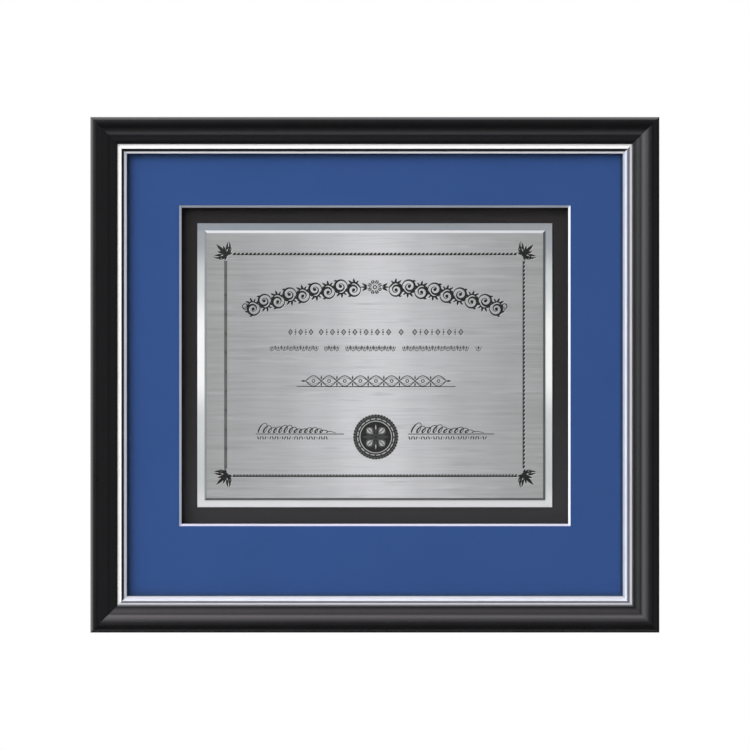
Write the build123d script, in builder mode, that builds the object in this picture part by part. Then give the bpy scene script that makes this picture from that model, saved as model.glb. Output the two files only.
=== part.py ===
"""Wall-hung certificate frame: four mitred black mouldings, a silver slip with a raised bead,
glazing, a blue window mat and an engraved metal plate on a bright backer plate, held in
from behind by a hardboard back and six turn buttons, and hung by two D-rings.

Millimetres. X runs to the right as seen from the front, -Y towards the viewer, +Z up.
The origin is the centre of the outline, in the plane of the wall that the rear bumpers
touch. Depth t is counted forwards (towards -Y) from the rear faces of the mouldings.
"""

import os
from math import cos, radians, sin

from build123d import *

# ---- driving dimensions -----------------------------------------------------------
OUTER_W = 406.4  # outline of the moulding, 16 in
OUTER_H = 368.3  # 14.5 in
BUMPER_T = 4.5  # the rear bumpers hold the mouldings this far off the wall

RABBET_U = 12.7  # wall of the rebate, inwards from the outer edge
LIP_T = 14.6  # underside of the moulding's front lip
LIP_U = 19.27  # inner edge of the moulding's lip
SIGHT_U = 25.98  # inner edge of the silver slip, the sight edge

BOARD_U = 13.5  # edges of the glass and boards, inwards from the outer edge
BACKING_T0, BACKING_T1 = 0.3, 3.3  # 3 mm hardboard
BOARD_T1 = 4.8  # 1.5 mm black mount board
SPACER_T1 = 9.8  # 5 mm foam board strips hold the mat off the mount board
SPACER_WIDE = 40.0
MAT_T1 = 11.4  # 1.6 mm (4-ply) mat
GLASS_T1 = 13.4  # 2 mm glass

WINDOW_W, WINDOW_H = 280.0, 229.6  # mat window at its face
WINDOW_BEVEL = 1.7  # the 45 degree cut leaves this much white core showing
WINDOW_UP = 6.5  # the window's centre above the outline's centre (bottom-weighted mat)
PLATES_UP = 6.8  # the plates' centre above the outline's centre

BACKER_W, BACKER_H = 254.0, 203.2  # bright backer plate, 10 x 8 in
BACKER_THICK = 0.5
TAPE_THICK = 0.15
TAPE_WIDE = 12.7
PLATE_W, PLATE_H = 243.8, 193.0  # brushed engraved plate
PLATE_EDGE = 0.15  # straight edge below its bevel
PLATE_RISE = 0.45  # height of its bevel
PLATE_BEVEL = 1.6  # width of its bevel
FILM_THICK = 0.1

NAIL_DEPTH = 7.0  # V-nails pressed into the mitres from behind
NAIL_SHEET = 0.5
NAIL_LEG = 4.2
NAIL_HALF_ANGLE = radians(50)

SCREW_R = 1.65  # pan-head wood screws
SCREW_LONG = 12.0
SCREW_HEAD_R = 3.2
SCREW_HEAD_T = 1.6
PILOT_R = SCREW_R + 0.03
PILOT_DEEP = 11.6

BUTTON_U = 7.0  # turn button pivot, inwards from the outer edge
BUTTON_LONG = 12.3  # between the centres of its round ends
BUTTON_BIG_R, BUTTON_TIP_R = 4.2, 3.2
BUTTON_T = 0.8
BUTTON_GAP = 0.2  # above the moulding's rear face
BUTTON_HOLE_R = SCREW_R + 0.1
BUTTON_X = 105.0  # along the top and bottom mouldings
BUTTON_Z = -20.0  # along the side mouldings

HANGER_U = 7.6  # strap hanger's centre line
HANGER_BAR_Z = 84.0  # height of the D-rings' hinge
STRAP_T = 0.9
STRAP_W = 9.5
STRAP_SCREW = 17.5  # screw hole below the hinge
KNUCKLE_R = 1.1  # inside radius of the curl round the ring's bar
KNUCKLE_OUT = KNUCKLE_R + STRAP_T
RING_WIRE_R = 1.0
RING_HALF_W = 6.25
RING_ARM = 6.0
RING_BEND = 1.2

BUMPER_R = 5.5
BUMPER_X = OUTER_W / 2 - 28.0
BUMPER_U = 6.35

# ---- derived -----------------------------------------------------------------------
HALF_W, HALF_H = OUTER_W / 2, OUTER_H / 2
BOARD_W, BOARD_H = OUTER_W - 2 * BOARD_U, OUTER_H - 2 * BOARD_U
FILM_T0 = BOARD_T1 + TAPE_THICK + BACKER_THICK  # front face of the backer plate
PLATE_T0 = FILM_T0 + FILM_THICK
Y_BACK = -BUMPER_T  # rear faces of the mouldings
BUTTON_SEAT = Y_BACK + BUTTON_GAP + BUTTON_T + 0.1  # underside of the screw head
HANGER_X = HALF_W - HANGER_U
KNUCKLE_Y = Y_BACK + KNUCKLE_OUT  # the hinge line of the rings

os.makedirs("parts", exist_ok=True)


def front_plane(t):
    """The plane at depth t, facing the viewer, with local x to the right and y up."""
    return Plane.XZ.offset(BUMPER_T + t)


# places of the turn buttons: (x, z, direction of the button's own local x)
BUTTONS = {
    "turn_button_top_left": (-BUTTON_X, HALF_H - BUTTON_U, (1, 0, 0)),
    "turn_button_top_right": (BUTTON_X, HALF_H - BUTTON_U, (1, 0, 0)),
    "turn_button_bottom_left": (-BUTTON_X, -HALF_H + BUTTON_U, (-1, 0, 0)),
    "turn_button_bottom_right": (BUTTON_X, -HALF_H + BUTTON_U, (-1, 0, 0)),
    "turn_button_left": (-HALF_W + BUTTON_U, BUTTON_Z, (0, 0, 1)),
    "turn_button_right": (HALF_W - BUTTON_U, BUTTON_Z, (0, 0, -1)),
}
HANGER_SCREWS = [
    (-HANGER_X, HANGER_BAR_Z - STRAP_SCREW),
    (HANGER_X, HANGER_BAR_Z - STRAP_SCREW),
]

# ---- V-nails that pin the mitres -----------------------------------------------------
nail_c, nail_s = cos(NAIL_HALF_ANGLE), sin(NAIL_HALF_ANGLE)
with BuildPart() as corner_v_nails:
    for side_x, side_z in ((-1, 1), (1, 1), (-1, -1), (1, -1)):
        corner = Plane(
            origin=(side_x * HALF_W, Y_BACK, side_z * HALF_H),
            x_dir=(-side_x, 0, -side_z),
            z_dir=(0, -1, 0),
        )
        with BuildSketch(corner):
            for apex in (4.2, 10.2):
                leg = (apex + NAIL_LEG * nail_c, NAIL_LEG * nail_s)
                inner = (leg[0] + NAIL_SHEET * nail_s, leg[1] - NAIL_SHEET * nail_c)
                with BuildLine():
                    Polyline(
                        (apex, 0),
                        leg,
                        inner,
                        (apex + NAIL_SHEET / nail_s, 0),
                        (inner[0], -inner[1]),
                        (leg[0], -leg[1]),
                        close=True,
                    )
                make_face()
        extrude(amount=NAIL_DEPTH)
corner_v_nails.part.label = "corner_v_nails"
export_step(corner_v_nails.part, "parts/corner_v_nails.step")

# ---- moulding section: u inwards, t forwards -------------------------------------------
with BuildSketch(Plane.XY) as rail_section:
    with BuildLine():
        Line((0, 0), (0, 19.31))
        ThreePointArc((0, 19.31), (0.613, 21.128), (2.2, 22.2))  # outer corner
        ThreePointArc((2.2, 22.2), (3.89, 22.486), (5.6, 22.4))  # crest
        ThreePointArc((5.6, 22.4), (6.813, 22.153), (8.0, 21.802))  # the slope steepens
        ThreePointArc((8.0, 21.802), (9.652, 21.109), (11.2, 20.207))
        ThreePointArc((11.2, 20.207), (12.118, 19.677), (13.1, 19.28))  # hollow
        ThreePointArc((13.1, 19.28), (14.159, 18.91), (15.2, 18.495))  # low inner swell
        ThreePointArc((15.2, 18.495), (16.73, 17.915), (18.3, 17.457))
        ThreePointArc((18.3, 17.457), (18.93, 17.15), (LIP_U, 16.6))  # eased sight lip
        Line((LIP_U, 16.6), (LIP_U, LIP_T))
        Line((LIP_U, LIP_T), (RABBET_U, LIP_T))
        Line((RABBET_U, LIP_T), (RABBET_U, 0))
        Line((RABBET_U, 0), (0, 0))
    make_face()

# ---- slip section: a flange behind the lip, a fillet, a raised bead and a lower inner fillet ----
with BuildSketch(Plane.XY) as slip_section:
    with BuildLine():
        Line((13.1, GLASS_T1), (SIGHT_U, GLASS_T1))
        Line((SIGHT_U, GLASS_T1), (SIGHT_U, 15.15))
        ThreePointArc((SIGHT_U, 15.15), (25.883, 15.378), (25.65, 15.47))  # rounded sight edge
        Line((25.65, 15.47), (24.1, 15.52))  # inner fillet
        Line((24.1, 15.52), (22.8, 17.08))  # the bead's steep inner side
        ThreePointArc((22.8, 17.08), (22.5, 17.23), (22.15, 17.14))
        Line((22.15, 17.14), (21.0, 16.58))  # and its gentler outer side
        Line((21.0, 16.58), (19.40, 16.5))  # outer fillet
        Line((19.40, 16.5), (19.40, LIP_T - 0.05))
        Line((19.40, LIP_T - 0.05), (13.1, LIP_T - 0.05))
        Line((13.1, LIP_T - 0.05), (13.1, GLASS_T1))
    make_face()

# The section's plane on each side: local x points inwards, local y forwards.
top_plane = Plane(origin=(HALF_W, Y_BACK, HALF_H), x_dir=(0, 0, -1), z_dir=(-1, 0, 0))
bottom_plane = Plane(origin=(-HALF_W, Y_BACK, -HALF_H), x_dir=(0, 0, 1), z_dir=(1, 0, 0))
left_plane = Plane(origin=(-HALF_W, Y_BACK, HALF_H), x_dir=(1, 0, 0), z_dir=(0, 0, -1))
right_plane = Plane(origin=(HALF_W, Y_BACK, -HALF_H), x_dir=(-1, 0, 0), z_dir=(0, 0, 1))

# The mitre cuts, each through an outer corner; the piece kept is on the plane's side.
top_mitres = (
    Plane(origin=(-HALF_W, 0, HALF_H), z_dir=(1, 0, 1)),
    Plane(origin=(HALF_W, 0, HALF_H), z_dir=(-1, 0, 1)),
)
bottom_mitres = (
    Plane(origin=(-HALF_W, 0, -HALF_H), z_dir=(1, 0, -1)),
    Plane(origin=(HALF_W, 0, -HALF_H), z_dir=(-1, 0, -1)),
)
left_mitres = (
    Plane(origin=(-HALF_W, 0, HALF_H), z_dir=(-1, 0, -1)),
    Plane(origin=(-HALF_W, 0, -HALF_H), z_dir=(-1, 0, 1)),
)
right_mitres = (
    Plane(origin=(HALF_W, 0, HALF_H), z_dir=(1, 0, -1)),
    Plane(origin=(HALF_W, 0, -HALF_H), z_dir=(1, 0, 1)),
)

# ---- the four mouldings, with their pilot holes and V-nail slots --------------------------
with BuildPart() as rail_top:
    with BuildSketch(top_plane):
        add(rail_section.sketch)
    extrude(amount=OUTER_W)
    for mitre in top_mitres:
        split(bisect_by=mitre, keep=Keep.TOP)
    with BuildSketch(front_plane(0)):
        with Locations((-BUTTON_X, HALF_H - BUTTON_U), (BUTTON_X, HALF_H - BUTTON_U)):
            Circle(PILOT_R)
    extrude(amount=PILOT_DEEP, mode=Mode.SUBTRACT)
    add(corner_v_nails.part, mode=Mode.SUBTRACT)
rail_top.part.label = "rail_top"
export_step(rail_top.part, "parts/rail_top.step")

with BuildPart() as rail_bottom:
    with BuildSketch(bottom_plane):
        add(rail_section.sketch)
    extrude(amount=OUTER_W)
    for mitre in bottom_mitres:
        split(bisect_by=mitre, keep=Keep.TOP)
    with BuildSketch(front_plane(0)):
        with Locations((-BUTTON_X, -HALF_H + BUTTON_U), (BUTTON_X, -HALF_H + BUTTON_U)):
            Circle(PILOT_R)
    extrude(amount=PILOT_DEEP, mode=Mode.SUBTRACT)
    add(corner_v_nails.part, mode=Mode.SUBTRACT)
rail_bottom.part.label = "rail_bottom"
export_step(rail_bottom.part, "parts/rail_bottom.step")

with BuildPart() as rail_left:
    with BuildSketch(left_plane):
        add(rail_section.sketch)
    extrude(amount=OUTER_H)
    for mitre in left_mitres:
        split(bisect_by=mitre, keep=Keep.TOP)
    with BuildSketch(front_plane(0)):
        with Locations((-HALF_W + BUTTON_U, BUTTON_Z), HANGER_SCREWS[0]):
            Circle(PILOT_R)
    extrude(amount=PILOT_DEEP, mode=Mode.SUBTRACT)
    add(corner_v_nails.part, mode=Mode.SUBTRACT)
rail_left.part.label = "rail_left"
export_step(rail_left.part, "parts/rail_left.step")

with BuildPart() as rail_right:
    with BuildSketch(right_plane):
        add(rail_section.sketch)
    extrude(amount=OUTER_H)
    for mitre in right_mitres:
        split(bisect_by=mitre, keep=Keep.TOP)
    with BuildSketch(front_plane(0)):
        with Locations((HALF_W - BUTTON_U, BUTTON_Z), HANGER_SCREWS[1]):
            Circle(PILOT_R)
    extrude(amount=PILOT_DEEP, mode=Mode.SUBTRACT)
    add(corner_v_nails.part, mode=Mode.SUBTRACT)
rail_right.part.label = "rail_right"
export_step(rail_right.part, "parts/rail_right.step")

# ---- the four silver slips ------------------------------------------------------------------
with BuildPart() as slip_top:
    with BuildSketch(top_plane):
        add(slip_section.sketch)
    extrude(amount=OUTER_W)
    for mitre in top_mitres:
        split(bisect_by=mitre, keep=Keep.TOP)
slip_top.part.label = "slip_top"
export_step(slip_top.part, "parts/slip_top.step")

with BuildPart() as slip_bottom:
    with BuildSketch(bottom_plane):
        add(slip_section.sketch)
    extrude(amount=OUTER_W)
    for mitre in bottom_mitres:
        split(bisect_by=mitre, keep=Keep.TOP)
slip_bottom.part.label = "slip_bottom"
export_step(slip_bottom.part, "parts/slip_bottom.step")

with BuildPart() as slip_left:
    with BuildSketch(left_plane):
        add(slip_section.sketch)
    extrude(amount=OUTER_H)
    for mitre in left_mitres:
        split(bisect_by=mitre, keep=Keep.TOP)
slip_left.part.label = "slip_left"
export_step(slip_left.part, "parts/slip_left.step")

with BuildPart() as slip_right:
    with BuildSketch(right_plane):
        add(slip_section.sketch)
    extrude(amount=OUTER_H)
    for mitre in right_mitres:
        split(bisect_by=mitre, keep=Keep.TOP)
slip_right.part.label = "slip_right"
export_step(slip_right.part, "parts/slip_right.step")

# ---- the stack in the rebate, from the back to the glass --------------------------------------
with BuildPart() as backing_board:
    with BuildSketch(front_plane(BACKING_T0)):
        Rectangle(BOARD_W, BOARD_H)
    extrude(amount=BACKING_T1 - BACKING_T0)
backing_board.part.label = "backing_board"
export_step(backing_board.part, "parts/backing_board.step")

with BuildPart() as black_mount_board:
    with BuildSketch(front_plane(BACKING_T1)):
        Rectangle(BOARD_W, BOARD_H)
    extrude(amount=BOARD_T1 - BACKING_T1)
black_mount_board.part.label = "black_mount_board"
export_step(black_mount_board.part, "parts/black_mount_board.step")

# foam strips between the mount board and the mat: the side ones fit between the other two
SIDE_STRIP = BOARD_H - 2 * SPACER_WIDE
for name, strip_w, strip_h, strip_x, strip_z in (
    ("mat_spacer_top", BOARD_W, SPACER_WIDE, 0, (BOARD_H - SPACER_WIDE) / 2),
    ("mat_spacer_bottom", BOARD_W, SPACER_WIDE, 0, -(BOARD_H - SPACER_WIDE) / 2),
    ("mat_spacer_left", SPACER_WIDE, SIDE_STRIP, -(BOARD_W - SPACER_WIDE) / 2, 0),
    ("mat_spacer_right", SPACER_WIDE, SIDE_STRIP, (BOARD_W - SPACER_WIDE) / 2, 0),
):
    with BuildPart() as mat_spacer:
        with BuildSketch(front_plane(BOARD_T1)):
            with Locations((strip_x, strip_z)):
                Rectangle(strip_w, strip_h)
        extrude(amount=SPACER_T1 - BOARD_T1)
    mat_spacer.part.label = name
    export_step(mat_spacer.part, f"parts/{name}.step")

with BuildPart() as blue_mat:
    with BuildSketch(front_plane(SPACER_T1)):
        Rectangle(BOARD_W, BOARD_H)
    extrude(amount=MAT_T1 - SPACER_T1)
    with BuildSketch(front_plane(SPACER_T1)):
        with Locations((0, WINDOW_UP)):
            Rectangle(WINDOW_W - 2 * WINDOW_BEVEL, WINDOW_H - 2 * WINDOW_BEVEL)
    with BuildSketch(front_plane(MAT_T1)):
        with Locations((0, WINDOW_UP)):
            Rectangle(WINDOW_W, WINDOW_H)
    loft(ruled=True, mode=Mode.SUBTRACT)
blue_mat.part.label = "blue_mat"
export_step(blue_mat.part, "parts/blue_mat.step")

with BuildPart() as glazing:
    with BuildSketch(front_plane(MAT_T1)):
        Rectangle(BOARD_W, BOARD_H)
    extrude(amount=GLASS_T1 - MAT_T1)
glazing.part.label = "glazing"
export_step(glazing.part, "parts/glazing.step")

# ---- the plates in the window -------------------------------------------------------------------
with BuildPart() as backer_plate_tape:
    with BuildSketch(front_plane(BOARD_T1)):
        with Locations(
            (0, PLATES_UP + BACKER_H / 2 - TAPE_WIDE),
            (0, PLATES_UP - BACKER_H / 2 + TAPE_WIDE),
        ):
            Rectangle(BACKER_W - 3 * TAPE_WIDE, TAPE_WIDE)
        with Locations(
            (-BACKER_W / 2 + TAPE_WIDE, PLATES_UP),
            (BACKER_W / 2 - TAPE_WIDE, PLATES_UP),
        ):
            Rectangle(TAPE_WIDE, BACKER_H - 4 * TAPE_WIDE)
    extrude(amount=TAPE_THICK)
backer_plate_tape.part.label = "backer_plate_tape"
export_step(backer_plate_tape.part, "parts/backer_plate_tape.step")

with BuildPart() as plate_backer:
    with BuildSketch(front_plane(BOARD_T1 + TAPE_THICK)):
        with Locations((0, PLATES_UP)):
            Rectangle(BACKER_W, BACKER_H)
    extrude(amount=BACKER_THICK)
    chamfer(
        plate_backer.edges().filter_by(Axis.Y, reverse=True).group_by(Axis.Y)[0], 0.2
    )
plate_backer.part.label = "plate_backer"
export_step(plate_backer.part, "parts/plate_backer.step")

with BuildPart() as engraved_plate_adhesive:
    with BuildSketch(front_plane(FILM_T0)):
        with Locations((0, PLATES_UP)):
            Rectangle(PLATE_W - 8, PLATE_H - 8)
    extrude(amount=FILM_THICK)
engraved_plate_adhesive.part.label = "engraved_plate_adhesive"
export_step(engraved_plate_adhesive.part, "parts/engraved_plate_adhesive.step")

with BuildPart() as engraved_plate:
    with BuildSketch(front_plane(PLATE_T0)):
        with Locations((0, PLATES_UP)):
            Rectangle(PLATE_W, PLATE_H)
    extrude(amount=PLATE_EDGE)
    with BuildSketch(front_plane(PLATE_T0 + PLATE_EDGE)):
        with Locations((0, PLATES_UP)):
            Rectangle(PLATE_W, PLATE_H)
    with BuildSketch(front_plane(PLATE_T0 + PLATE_EDGE + PLATE_RISE)):
        with Locations((0, PLATES_UP)):
            Rectangle(PLATE_W - 2 * PLATE_BEVEL, PLATE_H - 2 * PLATE_BEVEL)
    loft(ruled=True)
engraved_plate.part.label = "engraved_plate"
export_step(engraved_plate.part, "parts/engraved_plate.step")

# ---- screws: the head faces the wall, the shank runs forwards into the wood -----------------------
with BuildPart() as pan_screw:
    with BuildSketch(Plane.XY):
        with BuildLine():
            Line((0, -SCREW_LONG), (SCREW_R, -SCREW_LONG + 3.2))
            Line((SCREW_R, -SCREW_LONG + 3.2), (SCREW_R, 0))
            Line((SCREW_R, 0), (SCREW_HEAD_R, 0))
            Line((SCREW_HEAD_R, 0), (SCREW_HEAD_R, 0.45))
            ThreePointArc((SCREW_HEAD_R, 0.45), (2.75, 1.25), (1.7, SCREW_HEAD_T))
            Line((1.7, SCREW_HEAD_T), (0, SCREW_HEAD_T))
            Line((0, SCREW_HEAD_T), (0, -SCREW_LONG))
        make_face()
    revolve(axis=Axis.Y)
    with BuildSketch(Plane.XZ.offset(-SCREW_HEAD_T)):
        Rectangle(3.3, 0.75)
        Rectangle(0.75, 3.3)
    extrude(amount=1.1, taper=6, mode=Mode.SUBTRACT)

with BuildPart() as turn_button_screws:
    with Locations(*[(x, BUTTON_SEAT, z) for x, z, _ in BUTTONS.values()]):
        add(pan_screw.part)
turn_button_screws.part.label = "turn_button_screws"
export_step(turn_button_screws.part, "parts/turn_button_screws.step")

with BuildPart() as hanger_screws:
    with Locations(*[(x, Y_BACK + STRAP_T, z) for x, z in HANGER_SCREWS]):
        add(pan_screw.part)
hanger_screws.part.label = "hanger_screws"
export_step(hanger_screws.part, "parts/hanger_screws.step")

# ---- turn buttons: flat pressed tabs that swing about their screws ----------------------------------
for name, (pivot_x, pivot_z, along) in BUTTONS.items():
    with BuildPart() as turn_button:
        with BuildSketch(
            Plane(
                origin=(pivot_x, Y_BACK + BUTTON_GAP + BUTTON_T, pivot_z),
                x_dir=along,
                z_dir=(0, -1, 0),
            )
        ):
            Circle(BUTTON_BIG_R)
            with Locations((0, -BUTTON_LONG)):
                Circle(BUTTON_TIP_R)
            make_hull()
            Circle(BUTTON_HOLE_R, mode=Mode.SUBTRACT)
        extrude(amount=BUTTON_T)
        rim = turn_button.faces().sort_by(Axis.Y)[-1].outer_wire().edges()
        fillet(rim, 0.25)
    turn_button.part.label = name
    export_step(turn_button.part, f"parts/{name}.step")

# ---- strap hangers and their D-rings -------------------------------------------------------------------
for side, hang_x in (("left", -HANGER_X), ("right", HANGER_X)):
    with BuildPart() as strap_hanger:
        # flat strap with a round foot, its face on the moulding
        with BuildSketch(Plane.XZ.offset(-(Y_BACK + STRAP_T))):
            with Locations((hang_x, HANGER_BAR_Z - STRAP_SCREW / 2)):
                Rectangle(STRAP_W, STRAP_SCREW)
            with Locations((hang_x, HANGER_BAR_Z - STRAP_SCREW)):
                Circle(STRAP_W / 2)
        extrude(amount=STRAP_T)
        # the curl round the ring's bar
        with BuildSketch(Plane.YZ.offset(hang_x - STRAP_W / 2)):
            with Locations((KNUCKLE_Y, HANGER_BAR_Z)):
                Circle(KNUCKLE_OUT)
        extrude(amount=STRAP_W)
        with BuildSketch(Plane.YZ.offset(hang_x - STRAP_W / 2)):
            with Locations((KNUCKLE_Y, HANGER_BAR_Z)):
                Circle(KNUCKLE_R)
        extrude(amount=STRAP_W, mode=Mode.SUBTRACT)
        with BuildSketch(Plane.XZ.offset(-(Y_BACK + STRAP_T))):
            with Locations((hang_x, HANGER_BAR_Z - STRAP_SCREW)):
                Circle(SCREW_R + 0.1)
        extrude(amount=STRAP_T, mode=Mode.SUBTRACT)
    strap_hanger.part.label = f"strap_hanger_{side}"
    export_step(strap_hanger.part, f"parts/strap_hanger_{side}.step")

    with BuildPart() as d_ring:
        ring_plane = Plane(
            origin=(hang_x, KNUCKLE_Y, HANGER_BAR_Z), x_dir=(1, 0, 0), z_dir=(0, -1, 0)
        )
        bend = RING_BEND
        mid = bend * (1 - cos(radians(45)))
        half = RING_HALF_W
        with BuildLine(ring_plane) as ring_path:
            Line((0, 0), (half - bend, 0))
            ThreePointArc((half - bend, 0), (half - mid, -mid), (half, -bend))
            Line((half, -bend), (half, -RING_ARM))
            ThreePointArc((half, -RING_ARM), (0, -RING_ARM - half), (-half, -RING_ARM))
            Line((-half, -RING_ARM), (-half, -bend))
            ThreePointArc((-half, -bend), (-half + mid, -mid), (-half + bend, 0))
            Line((-half + bend, 0), (0, 0))
        with BuildSketch(
            Plane(origin=(hang_x, KNUCKLE_Y, HANGER_BAR_Z), z_dir=(1, 0, 0))
        ):
            Circle(RING_WIRE_R)
        sweep(path=ring_path.wire())
    d_ring.part.label = f"d_ring_{side}"
    export_step(d_ring.part, f"parts/d_ring_{side}.step")

# ---- rubber bumpers at the lower corners -------------------------------------------------------------------
for side, bump_x in (("left", -BUMPER_X), ("right", BUMPER_X)):
    with BuildPart() as wall_bumper:
        with BuildSketch(
            Plane(
                origin=(bump_x, Y_BACK, -HALF_H + BUMPER_U),
                x_dir=(1, 0, 0),
                z_dir=(0, 1, 0),
            )
        ):
            Circle(BUMPER_R)
        extrude(amount=BUMPER_T, taper=7)
        fillet(wall_bumper.edges().group_by(Axis.Y)[-1], 0.6)
    wall_bumper.part.label = f"wall_bumper_{side}"
    export_step(wall_bumper.part, f"parts/wall_bumper_{side}.step")
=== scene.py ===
"""Looks of a wall certificate frame: finishes for its CAD parts, the engraving let into its plate,
and the studio round it. Lengths are in metres in Blender and in millimetres in the drawing calls.
The frame hangs on the plane y = 0 and faces -Y, with X to the right and Z up."""

import math

import bpy
import numpy as np
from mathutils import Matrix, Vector


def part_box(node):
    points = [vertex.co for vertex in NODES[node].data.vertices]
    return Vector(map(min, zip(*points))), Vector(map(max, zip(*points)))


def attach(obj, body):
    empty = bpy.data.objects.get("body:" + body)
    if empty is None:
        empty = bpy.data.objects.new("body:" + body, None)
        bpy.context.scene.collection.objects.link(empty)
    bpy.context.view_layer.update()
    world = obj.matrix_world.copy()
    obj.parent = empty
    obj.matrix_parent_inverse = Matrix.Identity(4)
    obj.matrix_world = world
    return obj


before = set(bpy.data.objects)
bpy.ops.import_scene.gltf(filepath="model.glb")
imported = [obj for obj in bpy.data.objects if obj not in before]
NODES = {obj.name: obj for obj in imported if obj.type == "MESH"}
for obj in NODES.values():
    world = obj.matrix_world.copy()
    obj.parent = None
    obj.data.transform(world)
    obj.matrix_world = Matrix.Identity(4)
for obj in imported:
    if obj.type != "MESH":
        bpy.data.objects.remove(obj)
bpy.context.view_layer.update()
SCENE = bpy.context.scene
MM = 0.001

HALF_W = 203.2 * MM  # outline of the moulding, half of each side
HALF_H = 184.15 * MM
WALL = 4.5 * MM  # the moulding's back stands this far off the wall

PLATE_LOW, PLATE_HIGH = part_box("engraved_plate")
PLATE_FACE = -PLATE_LOW.y / MM  # 15.65, how far the plate's face stands in front of the wall
PLATE_CENTRE = (PLATE_LOW + PLATE_HIGH) / 2
BACKER_LOW, BACKER_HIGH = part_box("plate_backer")


# ---------------------------------------------------------------- node helpers


def linear(code):
    """A colour like #35538a as linear red, green, blue and alpha."""
    parts = [int(code[i : i + 2], 16) / 255 for i in (1, 3, 5)]
    return tuple(p / 12.92 if p <= 0.04045 else ((p + 0.055) / 1.055) ** 2.4 for p in parts) + (1.0,)


def grey(value, tint=(1.0, 1.0, 1.0)):
    return (value * tint[0], value * tint[1], value * tint[2], 1.0)


class Graph:
    """A node tree with short calls for the nodes used here. Values are numbers, tuples or sockets."""

    def __init__(self, name, tree=None):
        if tree is None:
            self.material = bpy.data.materials.new(name)
            self.material.use_nodes = True
            tree = self.material.node_tree
        self.tree = tree
        self.tree.nodes.clear()
        self._object = None
        self._split = None

    def put(self, kind, inputs=None, **settings):
        node = self.tree.nodes.new(kind)
        for key, value in settings.items():
            setattr(node, key, value)
        for key, value in (inputs or {}).items():
            self.feed(node.inputs[key], value)
        return node

    def feed(self, socket, value):
        if isinstance(value, bpy.types.NodeSocket):
            self.tree.links.new(value, socket)
        elif value is not None:
            socket.default_value = value

    def math(self, operation, a, b=None, c=None, clamp=False):
        values = {i: v for i, v in enumerate((a, b, c)) if v is not None}
        return self.put("ShaderNodeMath", values, operation=operation, use_clamp=clamp).outputs[0]

    def place(self):
        """Object coordinates, which stay with a part when it moves."""
        if self._object is None:
            self._object = self.put("ShaderNodeTexCoord").outputs["Object"]
        return self._object

    def xyz(self):
        if self._split is None:
            self._split = self.put("ShaderNodeSeparateXYZ", {0: self.place()})
        return self._split.outputs[0], self._split.outputs[1], self._split.outputs[2]

    def stretched(self, sx, sy, sz):
        """Object coordinates scaled along each axis, in turns per metre."""
        return self.put("ShaderNodeMapping", {"Vector": self.place(), "Scale": (sx, sy, sz)}).outputs[0]

    def noise(self, vector, scale=1.0, detail=2.0, roughness=0.5, distortion=0.0):
        return self.put(
            "ShaderNodeTexNoise",
            {
                "Vector": vector,
                "Scale": scale,
                "Detail": detail,
                "Roughness": roughness,
                "Distortion": distortion,
            },
        ).outputs[0]

    def voronoi(self, vector, scale=1.0, feature="F1"):
        return self.put(
            "ShaderNodeTexVoronoi", {"Vector": vector, "Scale": scale}, feature=feature
        ).outputs["Distance"]

    def remap(self, value, low, high, to_low=0.0, to_high=1.0, smooth=False):
        return self.put(
            "ShaderNodeMapRange",
            {"Value": value, "From Min": low, "From Max": high, "To Min": to_low, "To Max": to_high},
            interpolation_type="SMOOTHSTEP" if smooth else "LINEAR",
            clamp=True,
        ).outputs[0]

    def mix(self, factor, a, b, blend="MIX"):
        node = self.put(
            "ShaderNodeMix", {0: factor, 6: a, 7: b}, data_type="RGBA", blend_type=blend, clamp_factor=True
        )
        return node.outputs[2]

    def blend(self, factor, a, b):
        """A number between a and b."""
        node = self.put("ShaderNodeMix", {0: factor, 2: a, 3: b}, data_type="FLOAT", clamp_factor=True)
        return node.outputs[0]

    def ramp(self, value, stops, interpolation="LINEAR"):
        node = self.put("ShaderNodeValToRGB", {0: value})
        ramp = node.color_ramp
        ramp.interpolation = interpolation
        while len(ramp.elements) < len(stops):
            ramp.elements.new(0.5)
        for element, (at, colour) in zip(ramp.elements, stops):
            element.position = at
            element.color = colour
        return node.outputs[0]

    def normal(self):
        """The face's own direction, split in three."""
        node = self.put("ShaderNodeNewGeometry")
        split = self.put("ShaderNodeSeparateXYZ", {0: node.outputs["True Normal"]})
        return split.outputs[0], split.outputs[1], split.outputs[2]

    def inset(self):
        """How far in from the frame's outline a point is, and how far in front of the moulding's back."""
        x, y, z = self.xyz()
        across = self.math("SUBTRACT", HALF_W, self.math("ABSOLUTE", x))
        up = self.math("SUBTRACT", HALF_H, self.math("ABSOLUTE", z))
        inward = self.math("MINIMUM", across, up)
        front = self.math("SUBTRACT", self.math("MULTIPLY", y, -1.0), WALL)
        return inward, front, self.math("ABSOLUTE", self.math("SUBTRACT", across, up))

    def bump(self, height, distance, strength=1.0, after=None):
        values = {"Strength": strength, "Distance": distance, "Height": height}
        if after is not None:
            values["Normal"] = after
        return self.put("ShaderNodeBump", values).outputs[0]

    def surface(self, **sockets):
        """The finish: a Principled shader on the output. Names are the shader's, with _ for a space."""
        shader = self.put("ShaderNodeBsdfPrincipled")
        for key, value in sockets.items():
            self.feed(shader.inputs[key.replace("_", " ")], value)
        self.output(shader.outputs[0])
        return shader

    def output(self, socket):
        self.put("ShaderNodeOutputMaterial", {0: socket})


# ---------------------------------------------------------------- finishes


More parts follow.
